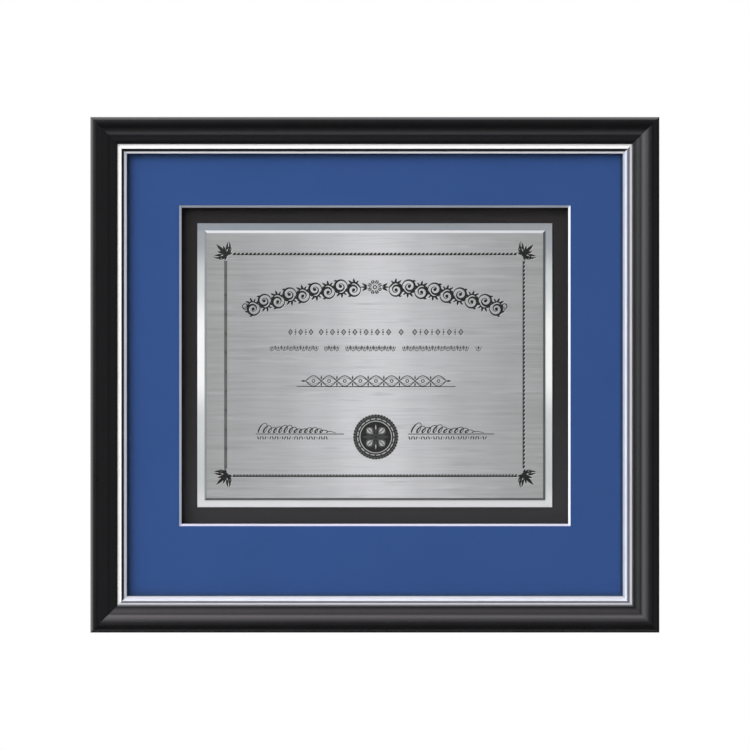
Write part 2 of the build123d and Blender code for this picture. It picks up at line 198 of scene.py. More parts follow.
def moulding(name, lengthwise):
    """Black satin lacquer on a wooden moulding whose back is bare wood. lengthwise is X or Z. The top and bottom rails
    get a darker black and a painted highlight down the inner slope, the sides painted shade at the slope's foot and
    under the lip.
    """
    g = Graph(name)
    inward, front, off_mitre = g.inset()
    long_x = lengthwise == "X"
    # wood, with its grain along the rail
    grain_place = g.stretched(*((7, 260, 260) if long_x else (260, 260, 7)))
    grain = g.noise(grain_place, 1.0, 5.0, 0.62, 0.6)
    fine = g.noise(g.stretched(*((40, 1900, 1900) if long_x else (1900, 1900, 40))), 1.0, 2.0, 0.5)
    wood = g.mix(g.remap(grain, 0.3, 0.72), linear("#c79d6c"), linear("#8f6238"))
    wood = g.mix(g.remap(fine, 0.58, 0.75, 0.0, 0.5), wood, linear("#6b4524"))
    # the lacquer ends a little way in on the back, in an uneven line
    edge = g.math("ADD", inward, g.math("MULTIPLY", g.noise(g.stretched(90, 90, 90), 1.0, 3.0), 0.0022))
    on_back = g.remap(front, 0.00006, 0.00001)
    rear = g.math("MULTIPLY", on_back, g.remap(edge, 0.0024, 0.0032, smooth=True))
    rebate = g.math(
        "MULTIPLY", g.remap(inward, 0.01262, 0.01266), g.remap(front, 0.01464, 0.01461)
    )
    bare = g.math("MAXIMUM", rear, rebate)
    # lacquer
    # lacquer; the top and bottom rails get a darker black than the sides, as painted shade
    cloud = g.noise(g.stretched(35, 35, 35), 1.0, 4.0, 0.6)
    black = g.mix(cloud, linear("#070708" if long_x else "#0c0c0e"), linear("#0b0b0d" if long_x else "#111113"))
    if long_x:
        # a lighter band down the inner slope of the top and bottom rails, fading towards its foot, the more on the top
        # rail: a painted highlight
        painted_sheen = g.math("MULTIPLY", g.remap(inward, 0.0106, 0.0118, smooth=True), g.remap(inward, 0.0176, 0.0168, smooth=True))
        _, _, z = g.xyz()
        tail = g.math("MULTIPLY", g.remap(inward, 0.0122, 0.0134, smooth=True), g.remap(z, -0.05, 0.05, 0.2, 0.66))
        painted_sheen = g.math("MULTIPLY", painted_sheen, g.math("SUBTRACT", 1.0, tail))
        black = g.mix(painted_sheen, black, linear("#29282b"))
    else:
        # and painted shade at the slope's foot and under the lip's edge
        slope_foot_shade = g.math("MULTIPLY", g.remap(inward, 0.0119, 0.0123, smooth=True), g.remap(inward, 0.0141, 0.0137, smooth=True))
        under_lip_shade = g.math("MULTIPLY", g.remap(inward, 0.0173, 0.0177, smooth=True), g.remap(inward, 0.0188, 0.0184, smooth=True))
        black = g.mix(g.math("MAXIMUM", slope_foot_shade, under_lip_shade), black, linear("#030304"))
    seam = g.math("MULTIPLY", g.remap(off_mitre, 0.00022, 0.00006), 0.8)
    black = g.mix(seam, black, linear("#060606"))
    peel = g.noise(g.stretched(420, 420, 420), 1.0, 2.0, 0.5)
    speck = g.noise(g.stretched(2600, 2600, 2600), 1.0, 1.0)
    height = g.math("ADD", g.math("MULTIPLY", peel, 0.75), g.math("MULTIPLY", speck, 0.25))
    rough = g.math("ADD", g.math("MULTIPLY", cloud, 0.06), g.remap(speck, 0.3, 0.7, 0.24, 0.30))
    # the flat outer sides are sprayed matt
    side = g.remap(inward, 0.00010, 0.00004)
    black = g.mix(side, black, g.mix(cloud, linear("#19191b"), linear("#1f1f21")))
    rough = g.blend(side, rough, 0.85)
    relief = g.blend(bare, height, grain)
    g.surface(
        Base_Color=g.mix(bare, black, wood),
        Roughness=g.blend(bare, rough, 0.78),
        Normal=g.bump(relief, 0.00004, 0.35),
        Specular_IOR_Level=g.blend(side, 0.5, 0.06),
        Specular_Tint=(1.0, 0.955, 1.01, 1.0) if long_x else (0.985, 0.985, 1.02, 1.0),
    )
    return g.material


def silver_slip(name, lengthwise):
    """Burnished silver leaf over a wooden slip. Its bead has a steep inner side in painted shade on the
    top and left pieces; the other pieces are painted darker, and all get bands of painted shade."""
    g = Graph(name)
    inward, front, off_mitre = g.inset()
    long_x = lengthwise == "X"
    draw = g.noise(g.stretched(*((16, 1500, 1500) if long_x else (1500, 1500, 16))), 1.0, 4.0, 0.55)
    cloud = g.noise(g.stretched(60, 60, 60), 1.0, 4.0, 0.6)
    silver = g.mix(g.remap(cloud, 0.3, 0.7), linear("#f8f6f6"), linear("#fffdfd"))
    silver = g.mix(g.remap(draw, 0.52, 0.8, 0.0, 0.2), silver, linear("#bfbec2"))
    x, _, z = g.xyz()
    first = g.remap(z, -0.05, 0.05) if long_x else g.remap(x, 0.05, -0.05)
    # painted shade on the bead's steep inner side, on the top and left pieces only
    start, end = (0.02250, 0.02460) if long_x else (0.02200, 0.02390)
    inner_side_shade = g.math(
        "MULTIPLY",
        g.remap(inward, start - 0.0001, start + 0.0001, smooth=True),
        g.remap(inward, end + 0.0001, end - 0.0001, smooth=True),
    )
    inner_side_shade = g.math("MULTIPLY", inner_side_shade, first)
    # painted shade on the bead's outer side, along the sight edge and under the lip's edge, on the other two
    start, end = (0.02105, 0.02250) if long_x else (0.02105, 0.02328)
    outer_side_shade_depth = 0.76 if long_x else g.remap(inward, 0.0212, 0.0230, 0.54, 0.88)
    outer_side_shade = g.math(
        "MULTIPLY",
        g.remap(inward, start - 0.0002, start + 0.0002, smooth=True),
        g.remap(inward, end + 0.0002, end - 0.0002, smooth=True),
    )
    outer_side_shade = g.math("ADD", g.math("MULTIPLY", outer_side_shade, outer_side_shade_depth), g.remap(inward, 0.0252, 0.0259, 0.0, 0.6, smooth=True))
    outer_side_shade = g.math("ADD", outer_side_shade, g.remap(inward, 0.0203, 0.0199, 0.0, 0.5 if long_x else 0.15, smooth=True))
    outer_side_shade = g.math("MULTIPLY", outer_side_shade, g.math("SUBTRACT", 1.0, first))
    # painted shade along the sight edge of the left piece as well
    if not long_x:
        outer_side_shade = g.math("ADD", outer_side_shade, g.math("MULTIPLY", first, g.remap(inward, 0.0253, 0.0259, 0.0, 0.45, smooth=True)))
    # the dark colour takes the painted shade in the bead and the dark mitre joints
    dark = g.math("MAXIMUM", inner_side_shade, g.math("MULTIPLY", g.remap(off_mitre, 0.0002, 0.00006), 0.5))
    # the right and bottom pieces are painted darker and bluer: painted shade
    silver = g.mix(g.math("SUBTRACT", 1.0, first), silver, (0.90, 0.92, 1.0, 1.0), "MULTIPLY")
    # painted shade past the bead on the top and left pieces
    shade_tint = (0.93, 0.95, 1.0, 1.0) if long_x else (0.76, 0.80, 0.92, 1.0)
    silver = g.mix(g.math("MULTIPLY", first, g.remap(inward, 0.0240, 0.0246, smooth=True)), silver, shade_tint, "MULTIPLY")
    # and painted shade over the bead on the right and bottom pieces
    if long_x:
        past = g.math("MULTIPLY", g.remap(inward, 0.0222, 0.0226, smooth=True), g.remap(inward, 0.0244, 0.0238, smooth=True))
        shade_tint = (0.73, 0.74, 0.77, 1.0)
    else:
        past, shade_tint = g.remap(inward, 0.0228, 0.0234, smooth=True), (0.77, 0.80, 0.86, 1.0)
    silver = g.mix(g.math("MULTIPLY", g.math("SUBTRACT", 1.0, first), past), silver, shade_tint, "MULTIPLY")
    silver = g.mix(outer_side_shade, silver, linear("#3c3e48"))
    silver = g.mix(dark, silver, linear("#131114"))
    g.surface(
        Base_Color=silver,
        Metallic=g.blend(dark, 0.22, 0.0),
        Roughness=g.remap(draw, 0.3, 0.75, 0.30, 0.42),
        Normal=g.bump(draw, 0.00002, 0.3),
    )
    return g.material


def window_mat():
    """Blue-faced mat board with a white core that shows on its bevel, its edges and its back."""
    g = Graph("blue_mat_board")
    normal_x, normal_y, normal_z = g.normal()
    inward, front, _ = g.inset()
    x, _, z = g.xyz()
    fibre = g.noise(g.stretched(900, 900, 900), 1.0, 4.0, 0.65, 1.2)
    felt = g.noise(g.stretched(190, 190, 190), 1.0, 3.0, 0.55)
    tone = g.noise(g.stretched(14, 14, 14), 1.0, 2.0, 0.5)
    blue = g.mix(g.remap(fibre, 0.3, 0.7), linear("#2b4a83"), linear("#2f508a"))
    blue = g.mix(g.remap(tone, 0.3, 0.7, 0.0, 0.35), blue, linear("#335290"))
    # painted shade on the paper beside the slip, deeper along the top and left
    slip_shade = g.remap(inward, 0.0296, 0.0264, smooth=True)
    top_left_slip_shade = g.math("MULTIPLY", g.remap(inward, 0.0325, 0.0264, smooth=True), g.remap(g.math("SUBTRACT", x, z), 0.03, -0.03))
    blue = g.mix(g.math("MAXIMUM", slip_shade, top_left_slip_shade), blue, (1.08, 0.85, 0.68, 1.0), "MULTIPLY")
    # and a dark painted shadow line along the right sight edge
    right_edge_shade = g.math("MULTIPLY", g.remap(x, 0.1752, 0.1760, smooth=True), g.remap(x, 0.1769, 0.1765, smooth=True))
    blue = g.mix(right_edge_shade, blue, (0.60, 0.58, 0.64, 1.0), "MULTIPLY")
    core = g.mix(g.remap(fibre, 0.35, 0.7), linear("#e6e9f5"), linear("#d9ddea"))
    # the bevel's faces are tinted by the way they face: painted shade on the top and bottom bevels, painted bluish
    # light on the left one
    cut = g.remap(normal_y, -0.3, -0.5)
    core = g.mix(g.math("MULTIPLY", cut, g.remap(normal_z, -0.4, -0.6)), core, linear("#b9bdca"))
    core = g.mix(g.math("MULTIPLY", cut, g.remap(normal_x, 0.4, 0.6)), core, linear("#e6ecff"))
    core = g.mix(g.math("MULTIPLY", cut, g.remap(normal_z, 0.4, 0.6)), core, linear("#c8c6d8"))
    paper = g.remap(front, 0.011275, 0.011290)
    faced = g.math("MULTIPLY", paper, g.remap(normal_y, -0.2, -0.4))
    height = g.math("ADD", g.math("MULTIPLY", fibre, 0.5), g.math("MULTIPLY", felt, 0.5))
    g.surface(
        Base_Color=g.mix(faced, core, blue),
        Roughness=g.remap(fibre, 0.3, 0.7, 0.82, 0.95),
        Specular_IOR_Level=0.25,
        Normal=g.bump(height, 0.00009, 0.45),
    )
    return g.material


def mount_board():
    """Black mount board with a fine tooth."""
    g = Graph("black_mount_board_paper")
    fibre = g.noise(g.stretched(1100, 1100, 1100), 1.0, 4.0, 0.65, 1.0)
    tone = g.noise(g.stretched(18, 18, 18), 1.0, 2.0)
    black = g.mix(g.remap(fibre, 0.3, 0.7), linear("#242223"), linear("#2d2b2c"))
    black = g.mix(g.remap(tone, 0.3, 0.7, 0.0, 0.4), black, linear("#2e2a2b"))
    _, _, z = g.xyz()
    # lighter towards the bottom: painted light and shade, the board's head darker as in the mat's shadow
    black = g.mix(g.remap(z, 0.02, -0.11, 0.0, 0.55, True), black, linear("#3c3b3e"))
    g.surface(
        Base_Color=black,
        Roughness=g.remap(fibre, 0.3, 0.7, 0.8, 0.95),
        Specular_IOR_Level=0.25,
        Normal=g.bump(fibre, 0.00008, 0.4),
    )
    return g.material


def bright_plate():
    """The polished backer plate, with a painted reflection from a bright foot to bright sides and a grey head in
    painted shade.
    """
    g = Graph("bright_plate_metal")
    x, _, z = g.xyz()
    low, high = BACKER_LOW.z, BACKER_HIGH.z
    height = g.remap(z, low, high)
    # a painted reflection: bright at the foot, brightest at the middle of the sides, grey towards the head
    sides = g.ramp(
        height,
        [
            (0.0, linear("#e3e3e6")),
            (0.10, linear("#cdd1d2")),
            (0.30, linear("#d5d8d9")),
            (0.45, linear("#fdfefe")),
            (0.62, linear("#fdfefe")),
            (0.80, linear("#d5dadb")),
            (0.94, linear("#a5aab1")),
            (1.0, linear("#a5aab1")),
        ],
        "EASE",
    )
    # the head above the engraved plate is painted grey: painted shade
    head_shade = g.remap(z, PLATE_HIGH.z - 0.0006, PLATE_HIGH.z + 0.0006, smooth=True)
    drift = g.noise(g.stretched(11, 11, 3), 1.0, 2.0)
    head_shade_tone = g.mix(g.remap(drift, 0.35, 0.65), linear("#9199a2"), linear("#a3a6ab"))
    tone = g.mix(head_shade, sides, head_shade_tone)
    line = g.noise(g.stretched(9, 900, 1400), 1.0, 3.0, 0.6)
    tone = g.mix(g.remap(line, 0.55, 0.8, 0.0, 0.05), tone, linear("#a4a8ad"))
    g.surface(
        Base_Color=tone,
        Metallic=0.05,
        Roughness=g.remap(line, 0.3, 0.7, 0.32, 0.38),
        Normal=g.bump(line, 0.000004, 0.1),
    )
    return g.material


def brushed_plate():
    """The engraved plate: metal brushed along X, with a painted sheen brightest down its middle."""
    g = Graph("brushed_plate_metal")
    x, _, z = g.xyz()
    wave = g.noise(g.stretched(3.5, 1, 10), 1.0, 2.0, 0.5)
    away = g.math("ABSOLUTE", g.math("ADD", x, g.math("MULTIPLY", g.math("SUBTRACT", wave, 0.5), 0.03)))
    # a painted sheen: brightest down the middle, dimmer to the sides
    band = g.ramp(
        g.remap(away, 0.0, 0.122),
        [
            (0.0, grey(0.925, (0.99, 0.99, 1.03))),
            (0.10, grey(0.895, (0.99, 0.99, 1.03))),
            (0.28, grey(0.755, (0.985, 0.985, 1.03))),
            (0.55, grey(0.595, (0.98, 0.995, 1.025))),
            (0.80, grey(0.508, (0.985, 1.0, 1.012))),
            (1.0, grey(0.465, (0.985, 1.003, 1.0))),
        ],
        "EASE",
    )
    long_line = g.noise(g.stretched(14, 200, 520), 1.0, 3.0, 0.6)
    fine_line = g.noise(g.stretched(42, 900, 3600), 1.0, 3.0, 0.6)
    streak = g.noise(g.stretched(26, 60, 260), 1.0, 2.0, 0.5)
    tone = g.mix(g.remap(long_line, 0.35, 0.65, 0.0, 0.17), band, (0.95, 0.95, 0.97, 1.0))
    tone = g.mix(g.remap(fine_line, 0.45, 0.75, 0.0, 0.26), tone, (0.30, 0.30, 0.31, 1.0))
    middle = g.remap(away, 0.02, 0.10, 1.0, 0.4)
    tone = g.mix(g.math("MULTIPLY", middle, g.remap(streak, 0.62, 0.78, 0.0, 0.42)), tone, (0.95, 0.95, 0.97, 1.0))
    tone = g.mix(g.math("MULTIPLY", middle, g.remap(streak, 0.38, 0.24, 0.0, 0.34)), tone, (0.32, 0.32, 0.34, 1.0))
    # the painted sheen is also a little darker to the left
    tone = g.mix(1.0, tone, g.ramp(g.remap(x, -0.12, 0.12), [(0.0, grey(0.93)), (1.0, grey(1.0))]), "MULTIPLY")
    # painted light on the cut bevel by the way it faces: a painted highlight at the head, painted shade on the left
    # and deeper painted shade on the right and at the foot
    normal_x, _, normal_z = g.normal()
    head_highlight = g.math("MAXIMUM", g.remap(normal_z, 0.1, 0.2), g.remap(z, PLATE_HIGH.z - 0.0022, PLATE_HIGH.z - 0.0018))
    tone = g.mix(head_highlight, tone, (0.79, 0.805, 0.84, 1.0))
    tone = g.mix(g.remap(normal_x, -0.1, -0.2), tone, (0.21, 0.21, 0.22, 1.0))
    right_and_foot_shade = g.math("MAXIMUM", g.remap(normal_x, 0.1, 0.2), g.remap(normal_z, -0.1, -0.2))
    tone = g.mix(right_and_foot_shade, tone, (0.19, 0.19, 0.197, 1.0))
    tangent = g.put("ShaderNodeCombineXYZ", {0: 0.0, 1: 0.0, 2: 1.0}).outputs[0]
    height = g.math("ADD", g.math("MULTIPLY", fine_line, 0.7), g.math("MULTIPLY", long_line, 0.3))
    g.surface(
        Base_Color=tone,
        Metallic=0.45,
        Roughness=g.remap(long_line, 0.3, 0.7, 0.40, 0.48),
        Anisotropic=0.6,
        Tangent=tangent,
        Normal=g.bump(height, 0.000012, 0.3),
    )
    return g.material


def clear_glass():
    """Picture glass. Light from lamps and off other parts passes straight through it."""
    g = Graph("picture_glass")
    smear = g.noise(g.stretched(9, 9, 9), 1.0, 5.0, 0.6)
    glass = g.put(
        "ShaderNodeBsdfPrincipled",
        {
            "Base Color": g.mix(g.remap(smear, 0.4, 0.6), (0.995, 1.0, 0.998, 1.0), (0.985, 0.995, 0.992, 1.0)),
            "Roughness": 0.0,
            "IOR": 1.5,
            "Transmission Weight": 1.0,
            "Specular IOR Level": 0.35,
        },
    )
    open_air = g.put("ShaderNodeBsdfTransparent")
    path = g.put("ShaderNodeLightPath")
    passing = g.math(
        "MAXIMUM",
        path.outputs["Is Shadow Ray"],
        g.math("MAXIMUM", path.outputs["Is Diffuse Ray"], path.outputs["Is Glossy Ray"]),
    )
    mixed = g.put("ShaderNodeMixShader", {0: passing, 1: glass.outputs[0], 2: open_air.outputs[0]})
    g.output(mixed.outputs[0])
    return g.material


def foam_tape():
    """White double-sided foam tape with small open cells."""
    g = Graph("mounting_tape_foam")
    cells = g.voronoi(g.stretched(2600, 2600, 2600), 1.0)
    tone = g.mix(g.remap(cells, 0.1, 0.6), linear("#cfcdc6"), linear("#ecebe6"))
    g.surface(
        Base_Color=tone,
        Roughness=g.remap(cells, 0.1, 0.6, 0.7, 0.9),
        Normal=g.bump(cells, 0.00005, 0.5),
    )
    return g.material


def foam_board():
    """Foam board: smooth white paper faces on a core of fine cells."""
    g = Graph("foam_board_core")
    _, normal_y, _ = g.normal()
    faced = g.remap(g.math("ABSOLUTE", normal_y), 0.4, 0.6)
    cells = g.voronoi(g.stretched(1500, 1500, 1500), 1.0)
    fibre = g.noise(g.stretched(700, 700, 700), 1.0, 3.0)
    paper = g.mix(g.remap(fibre, 0.3, 0.7), linear("#efeeea"), linear("#f7f6f3"))
    core = g.mix(g.remap(cells, 0.1, 0.6), linear("#dcdbd6"), linear("#fbfaf7"))
    g.surface(
        Base_Color=g.mix(faced, core, paper),
        Roughness=g.blend(faced, 0.9, 0.62),
        Normal=g.bump(g.blend(faced, cells, fibre), 0.00006, 0.35),
    )
    return g.material


def hardboard():
    """Brown hardboard, smooth with pressed fibres, and the weave of its press screen on the back."""
    g = Graph("hardboard_fibre")
    x, _, z = g.xyz()
    _, normal_y, _ = g.normal()
    fleck = g.noise(g.stretched(330, 330, 330), 1.0, 6.0, 0.7, 1.5)
    fibre = g.noise(g.stretched(1400, 1400, 1400), 1.0, 3.0, 0.6, 2.0)
    cloud = g.noise(g.stretched(22, 22, 22), 1.0, 3.0)
    brown = g.mix(g.remap(fleck, 0.32, 0.68), linear("#5d3c24"), linear("#80583a"))
    brown = g.mix(g.remap(cloud, 0.3, 0.7, 0.0, 0.4), brown, linear("#6b4a30"))
    brown = g.mix(g.remap(fibre, 0.62, 0.8, 0.0, 0.55), brown, linear("#a67c55"))
    turns = 2 * math.pi / 0.0016
    weave = g.math(
        "MULTIPLY",
        g.math("SINE", g.math("MULTIPLY", g.math("ADD", x, z), turns * 0.7071)),
        g.math("SINE", g.math("MULTIPLY", g.math("SUBTRACT", x, z), turns * 0.7071)),
    )
    weave = g.remap(weave, -0.2, 0.7)
    back = g.remap(normal_y, 0.4, 0.6)
    brown = g.mix(g.math("MULTIPLY", g.math("MULTIPLY", weave, back), 0.3), brown, linear("#4a2f1c"))
    height = g.math("SUBTRACT", g.math("MULTIPLY", fleck, 0.5), g.math("MULTIPLY", weave, back))
    g.surface(
        Base_Color=brown,
        Roughness=g.remap(fleck, 0.3, 0.7, 0.62, 0.8),
        Specular_IOR_Level=0.35,
        Normal=g.bump(height, 0.00012, 0.5),
    )
    return g.material


def plated(name, light, dark, rough, worn=0.0, scratch=0.25):
    """Plated steel: a clouded bright coat with tumbling scratches, dulled where worn."""
    g = Graph(name)
    cloud = g.noise(g.stretched(420, 420, 420), 1.0, 4.0, 0.6)
    hair_a = g.noise(g.stretched(260, 5200, 5200), 1.0, 1.0)
    hair_b = g.noise(g.stretched(5200, 5200, 260), 1.0, 1.0)
    hair = g.math("MAXIMUM", g.remap(hair_a, 0.7, 0.78), g.remap(hair_b, 0.7, 0.78))
    tone = g.mix(g.remap(cloud, 0.3, 0.7), linear(light), linear(dark))
    spots = g.remap(g.noise(g.stretched(900, 900, 900), 1.0, 3.0), 0.62, 0.72, 0.0, worn)
    tone = g.mix(spots, tone, linear("#5c564c"))
    rough_map = g.math(
        "ADD", g.remap(cloud, 0.3, 0.7, rough, rough + 0.12), g.math("MULTIPLY", hair, 0.12)
    )
    g.surface(
        Base_Color=tone,
        Metallic=1.0,
        Roughness=rough_map,
        Normal=g.bump(g.math("SUBTRACT", cloud, hair), 0.00001, scratch),
    )
    return g.material


def rubber():
    """Dark moulded rubber."""
    g = Graph("bumper_rubber")
    grain = g.noise(g.stretched(1700, 1700, 1700), 1.0, 3.0)
    tone = g.mix(g.remap(grain, 0.3, 0.7), linear("#232324"), linear("#2f2f30"))
    g.surface(
        Base_Color=tone,
        Roughness=g.remap(grain, 0.3, 0.7, 0.6, 0.78),
        Normal=g.bump(grain, 0.00004, 0.4),
    )
    return g.material


def engraving_fill(name, deep, pale):
    """Dark fill in the cuts: matt, slightly uneven."""
    g = Graph(name)
    grain = g.noise(g.stretched(1300, 1300, 1300), 1.0, 3.0)
    tone = g.mix(g.remap(grain, 0.3, 0.7), linear(deep), linear(pale))
    g.surface(
        Base_Color=tone,
        Roughness=g.remap(grain, 0.3, 0.7, 0.5, 0.65),
        Specular_IOR_Level=0.3,
        Normal=g.bump(grain, 0.00002, 0.3),
    )
    return g.material


def glint_or_facet_metal(name, dull, bright):
    """Bright metal, for the painted glints beside the cuts and for the seal's raised facets."""
    g = Graph(name)
    line = g.noise(g.stretched(700, 700, 1500), 1.0, 2.0)
    tone = g.mix(g.remap(line, 0.3, 0.7), grey(dull, (1.0, 1.0, 1.02)), grey(bright))
    g.surface(
        Base_Color=tone,
        Metallic=0.35,
        Roughness=g.remap(line, 0.3, 0.7, 0.3, 0.42),
    )
    return g.material


def finish_node(node, material):
    """Gives a CAD node this finish."""
    slots = NODES[node].material_slots
    for slot in slots:
        slot.material = material


BLACK_X, BLACK_Z = moulding("satin_black_moulding_x", "X"), moulding("satin_black_moulding_z", "Z")
SILVER_X, SILVER_Z = silver_slip("silver_leaf_slip_x", "X"), silver_slip("silver_leaf_slip_z", "Z")
ZINC = plated("zinc_plate_bright", "#c9cbd0", "#adb0b6", 0.28, worn=0.35)
NICKEL = plated("nickel_ring", "#d8d2c8", "#c2bbae", 0.16, worn=0.15, scratch=0.15)
NAIL = plated("nail_steel_dull", "#7f7f80", "#66676a", 0.4, worn=0.6)
RUBBER = rubber()
SPACER = foam_board()
FINISHES = {
    "rail_top": BLACK_X,
    "rail_bottom": BLACK_X,
    "rail_left": BLACK_Z,
    "rail_right": BLACK_Z,
    "slip_top": SILVER_X,
    "slip_bottom": SILVER_X,
    "slip_left": SILVER_Z,
    "slip_right": SILVER_Z,
    "glazing": clear_glass(),
    "blue_mat": window_mat(),
    "black_mount_board": mount_board(),
    "plate_backer": bright_plate(),
    "engraved_plate": brushed_plate(),
    "backer_plate_tape": foam_tape(),
    "engraved_plate_adhesive": foam_tape(),
    "mat_spacer_top": SPACER,
    "mat_spacer_bottom": SPACER,
    "mat_spacer_left": SPACER,
    "mat_spacer_right": SPACER,
    "backing_board": hardboard(),
    "corner_v_nails": NAIL,
    "turn_button_screws": ZINC,
    "hanger_screws": ZINC,
    "strap_hanger_left": ZINC,
    "strap_hanger_right": ZINC,
    "d_ring_left": NICKEL,
    "d_ring_right": NICKEL,
    "wall_bumper_left": RUBBER,
    "wall_bumper_right": RUBBER,
}
for node_name in NODES:
    finish_node(node_name, FINISHES.get(node_name, ZINC))


# ---------------------------------------------------------------- drawing on the plate

FILL_BACK = PLATE_FACE - 0.005  # cuts start just inside the plate's face
GLINT_FRONT = PLATE_FACE + 0.018
FILL_FRONT = PLATE_FACE + 0.050
SECOND_FRONT = PLATE_FACE + 0.066
TOP_FRONT = PLATE_FACE + 0.082
# each cut's glint copy lies this far right and down: a painted highlight on the cut's lower wall
GLINT_SHIFT = (0.22, -0.22)


def area(outline):
    x, z = outline[:, 0], outline[:, 1]
    return 0.5 * float(np.sum(x * np.roll(z, -1) - z * np.roll(x, -1)))


def turned(points, angle, about=(0.0, 0.0)):
    c, s = math.cos(angle), math.sin(angle)
    p = np.asarray(points, float) - about
    return np.stack([p[:, 0] * c - p[:, 1] * s, p[:, 0] * s + p[:, 1] * c], 1) + about


class Inlay:
    """Closed thin solids let into the plate's face, gathered in one mesh. Points are (x, z) in mm."""

    def __init__(self, front=FILL_FRONT, painted_glints=None):
        self.points, self.faces = [], []
        self.front, self.painted_glints = front, painted_glints
        self.count = 0

    def _depth(self):
        """Each solid's face stands a hair apart from its neighbours', so that none lie in one plane."""
        self.count += 1
        return self.front + 0.0006 * (self.count % 11)

    def _add(self, loop, depth):
        start = len(self.points)
        self.points += [(x * MM, -depth * MM, z * MM) for x, z in loop]
        return start

    def outline(self, loop, glint=True):
        """A solid with this outline."""
        loop = np.asarray(loop, float)
        if area(loop) < 0:
            loop = loop[::-1]
        n = len(loop)
        front, back = self._add(loop, self._depth()), self._add(loop, FILL_BACK)
        self.faces.append(tuple(front + i for i in range(n)))
        self.faces.append(tuple(back + i for i in reversed(range(n))))
        for i in range(n):
            j = (i + 1) % n
            self.faces.append((front + i, back + i, back + j, front + j))
        if glint and self.painted_glints is not None:
            self.painted_glints.outline(loop + GLINT_SHIFT, False)

    def ring(self, outer, inner, glint=True):
        """A solid between two loops of the same number of points."""
        outer, inner = np.asarray(outer, float), np.asarray(inner, float)
        if area(outer) < 0:
            outer, inner = outer[::-1], inner[::-1]
        n, depth = len(outer), self._depth()
        of, inf = self._add(outer, depth), self._add(inner, depth)
        ob, inb = self._add(outer, FILL_BACK), self._add(inner, FILL_BACK)
        for i in range(n):
            j = (i + 1) % n
            self.faces += [
                (of + i, of + j, inf + j, inf + i),
                (ob + j, ob + i, inb + i, inb + j),
                (of + j, of + i, ob + i, ob + j),
                (inf + i, inf + j, inb + j, inb + i),
            ]
        if glint and self.painted_glints is not None:
            self.painted_glints.ring(outer + GLINT_SHIFT, inner + GLINT_SHIFT, False)

    def stroke(self, line, widths, glint=True):
        """A pen stroke along a line, as wide as widths at each point."""
        line = np.asarray(line, float)
        widths = np.broadcast_to(np.asarray(widths, float), (len(line),))
        along = np.gradient(line, axis=0)
        along /= np.linalg.norm(along, axis=1)[:, None]
        side = np.stack([-along[:, 1], along[:, 0]], 1) * widths[:, None] / 2
        left, right = line + side, line - side
        n, depth = len(line), self._depth()
        lf, rf = self._add(left, depth), self._add(right, depth)
        lb, rb = self._add(left, FILL_BACK), self._add(right, FILL_BACK)
        for i in range(n - 1):
            j = i + 1
            self.faces += [
                (rf + i, rf + j, lf + j, lf + i),
                (lb + i, lb + j, rb + j, rb + i),
                (lf + i, lf + j, lb + j, lb + i),
                (rf + j, rf + i, rb + i, rb + j),
            ]
        e = n - 1
        self.faces += [(lf, lb, rb, rf), (rf + e, rb + e, lb + e, lf + e)]
        if glint and self.painted_glints is not None:
            self.painted_glints.stroke(line + GLINT_SHIFT, widths, False)

    def disc(self, centre, radius, sides=24, glint=True):
        a = np.linspace(0, 2 * math.pi, sides, endpoint=False)
        self.outline(np.stack([centre[0] + radius * np.cos(a), centre[1] + radius * np.sin(a)], 1), glint)

    def annulus(self, centre, outer, inner, sides=96, glint=True):
        a = np.linspace(0, 2 * math.pi, sides, endpoint=False)
        unit = np.stack([np.cos(a), np.sin(a)], 1)
        self.ring(unit * outer + centre, unit * inner + centre, glint)

    def piece(self, name, material, slot=None):
        mesh = bpy.data.meshes.new(name)
        mesh.from_pydata(self.points, [], self.faces)
        mesh.update()
        mesh.materials.append(material)
        made = bpy.data.objects.new(name, mesh)
        SCENE.collection.objects.link(made)
        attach(made, "frame")
        return made


def spiral(centre, start, end, turn_from, turn_to, steps=56, ease=1.15):
    """A line that winds round centre from one radius to another."""
    p = np.linspace(0, 1, steps)
    r = start + (end - start) * p**ease
    a = turn_from + (turn_to - turn_from) * p
    return np.stack([centre[0] + r * np.cos(a), centre[1] + r * np.sin(a)], 1), p


def leaf(base, tip, width, bend=0.0, steps=12, fullest=0.42):
    """The two halves of a pointed leaf with a vein between them, as closed outlines."""
    base, tip = np.asarray(base, float), np.asarray(tip, float)
    along = tip - base
    length = float(np.linalg.norm(along))
    side = np.array([-along[1], along[0]]) / length
    s = np.linspace(0, 1, steps)
    middle = base + np.outer(s, along) + np.outer(np.sin(math.pi * s) * bend, side)
    power = math.log(0.5) / math.log(fullest)
    half = np.sin(math.pi * s**power) * width / 2
    direction = np.gradient(middle, axis=0)
    direction /= np.linalg.norm(direction, axis=1)[:, None]
    out = np.stack([-direction[:, 1], direction[:, 0]], 1)
    vein = np.minimum(0.09 * width, half * 0.5)
    halves = []
    for sign in (1, -1):
        edge = middle + out * (sign * half)[:, None]
        inner = middle + out * (sign * vein)[:, None]
        loop = np.concatenate([edge, inner[1:-1][::-1]])
        halves.append(loop)
    return halves


def blade(base, tip, width, bend=0.0, steps=12, fullest=0.42):
    """A pointed leaf as one closed outline."""
    first, second = leaf(base, tip, width, bend, steps, fullest)
    return np.concatenate([first[:steps], second[:steps][::-1][1:-1]])


def at(px, py):
    """A place on the plate in mm, from the picture's own pixels (1.396 px per mm, centre 374.8)."""
    return np.array([(px - 374.8) / 1.396, (374.8 - py) / 1.396])


def mirrored(points):
    return np.asarray(points, float) * (-1.0, 1.0)


